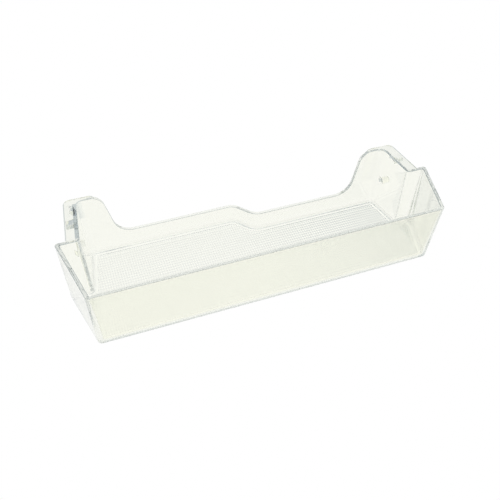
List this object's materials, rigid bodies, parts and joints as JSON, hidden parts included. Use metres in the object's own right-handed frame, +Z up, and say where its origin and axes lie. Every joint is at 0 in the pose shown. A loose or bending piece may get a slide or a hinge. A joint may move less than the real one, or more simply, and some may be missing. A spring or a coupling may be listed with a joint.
{
  "type": "fridge door shelf",
  "caption": "Clear moulded tray with leaning walls, a bend in its low back wall and hooded ears that hang it on a refrigerator door.",
  "frame": {"origin": "centre of the shelf's outer box, on the plane of its underside", "axes": "+X along the shelf to its shallow end, -Y towards the front wall, +Z up to the rim"},
  "size_m": [0.4193, 0.1471, 0.081],
  "materials": {
    "clear_plastic": "clear gloss"
  },
  "bodies": {
    "root": {"door_shelf": "clear_plastic"}
  },
  "joints": []
}
